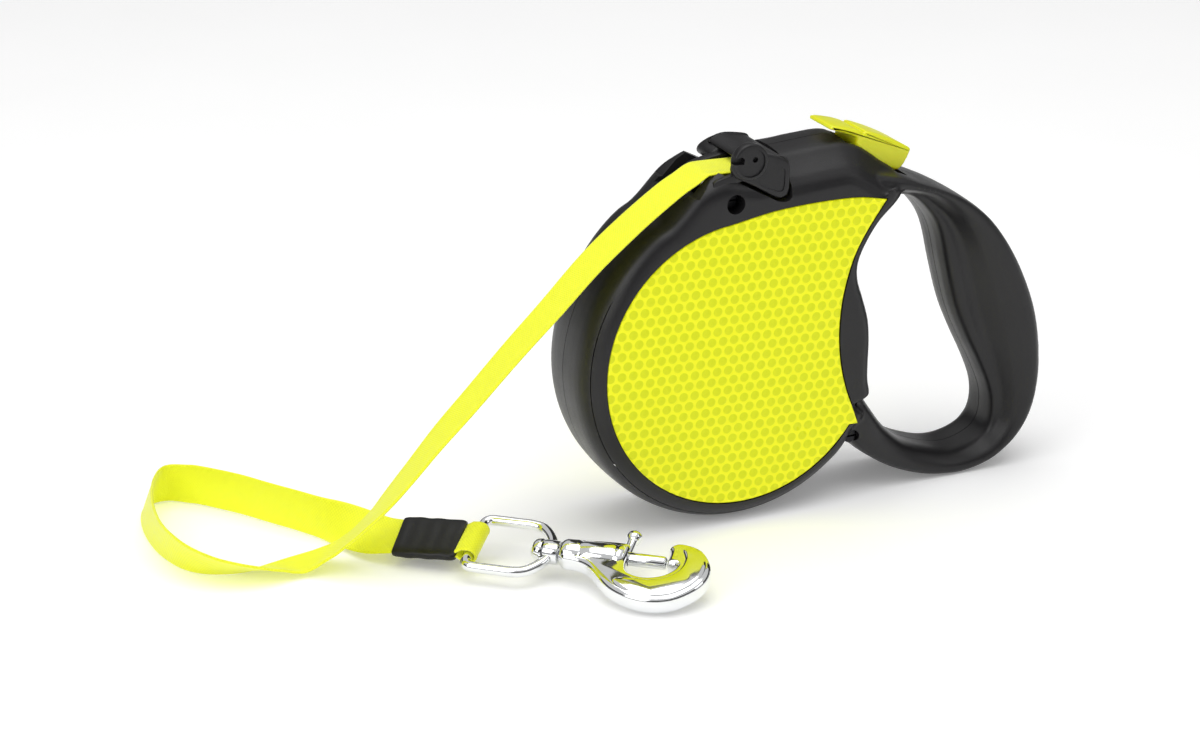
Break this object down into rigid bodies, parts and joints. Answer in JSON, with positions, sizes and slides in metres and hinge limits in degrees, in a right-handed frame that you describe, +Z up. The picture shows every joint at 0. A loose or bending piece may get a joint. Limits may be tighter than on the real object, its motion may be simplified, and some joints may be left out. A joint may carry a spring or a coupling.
{
  "type": "retractable leash",
  "caption": "Retractable tape leash: a round housing with a loop handle, thumb brake, spring-wound tape spool, nose outlet, and a swivel snap hook on the tape's sewn end.",
  "frame": {"origin": "middle of the housing's base, on the surface it stands on, under the middle plane of its depth", "axes": "+X from the nose towards the handle, +Y through the housing's depth away from the near label, +Z up"},
  "size_m": [0.3104, 0.1551, 0.1346],
  "materials": {
    "housing": "satin",
    "label": "reflective sheet",
    "tape": "woven",
    "sleeve": "matte",
    "button": "satin",
    "mechanism": "moulded",
    "steel": "brushed",
    "chrome": "polished"
  },
  "bodies": {
    "housing": {"shell_near": "housing", "shell_far": "housing", "label_near": "label", "label_far": "label", "screw_nose": "steel", "screw_rear": "steel", "screw_hub": "steel", "outlet_guide": "housing", "roller_pin": "steel", "spool_axle": "steel", "brake_pin": "steel", "brake_spring": "steel", "tape_free": "tape", "tape_lead": "tape", "tape_loop": "tape", "tape_sleeve": "sleeve"},
    "spool": {"spool_drum": "mechanism", "spring_cover": "mechanism", "mainspring": "steel", "tape_roll": "tape"},
    "roller": {"guide_roller": "steel"},
    "brake": {"brake_lever": "mechanism"},
    "button": {"brake_button": "button"},
    "eye": {"swivel_eye": "chrome"},
    "hook": {"hook_body": "chrome", "hook_rivet": "chrome", "bolt_spring": "steel"},
    "bolt": {"hook_bolt": "chrome"}
  },
  "joints": [
    {"name": "spool_turn", "type": "hinge", "parent": "housing", "child": "spool", "pos_m": [-0.031, 0, 0.058], "axis": [0, -1, 0], "continuous": true},
    {"name": "roller_turn", "type": "hinge", "parent": "housing", "child": "roller", "pos_m": [-0.0402, 0, 0.1204], "axis": [0, -1, 0], "continuous": true},
    {"name": "brake_press", "type": "hinge", "parent": "housing", "child": "brake", "pos_m": [-0.004, 0, 0.1135], "axis": [0, 1, 0], "range_deg": [0, 5], "stiffness_Nm_per_rad": 0.5, "springref_deg": -6.88, "deforming": ["brake_spring"]},
    {"name": "lock_slide", "type": "slide", "parent": "brake", "child": "button", "axis": [-1, 0, 0], "range_m": [0, 0.0035]},
    {"name": "eye_turn", "type": "hinge", "parent": "housing", "child": "eye", "pos_m": [-0.1273, -0.015, 0.009], "axis": [0.6309, 0.7314, 0.2588], "range_deg": [-70, 70]},
    {"name": "hook_swivel", "type": "hinge", "parent": "eye", "child": "hook", "pos_m": [-0.1273, -0.015, 0.009], "axis": [0.7572, -0.6532, 0], "continuous": true},
    {"name": "bolt_slide", "type": "slide", "parent": "hook", "child": "bolt", "axis": [-0.7572, 0.6532, 0], "range_m": [0, 0.0065], "stiffness_N_per_m": 300, "springref_m": -0.004, "deforming": ["bolt_spring"]}
  ]
}
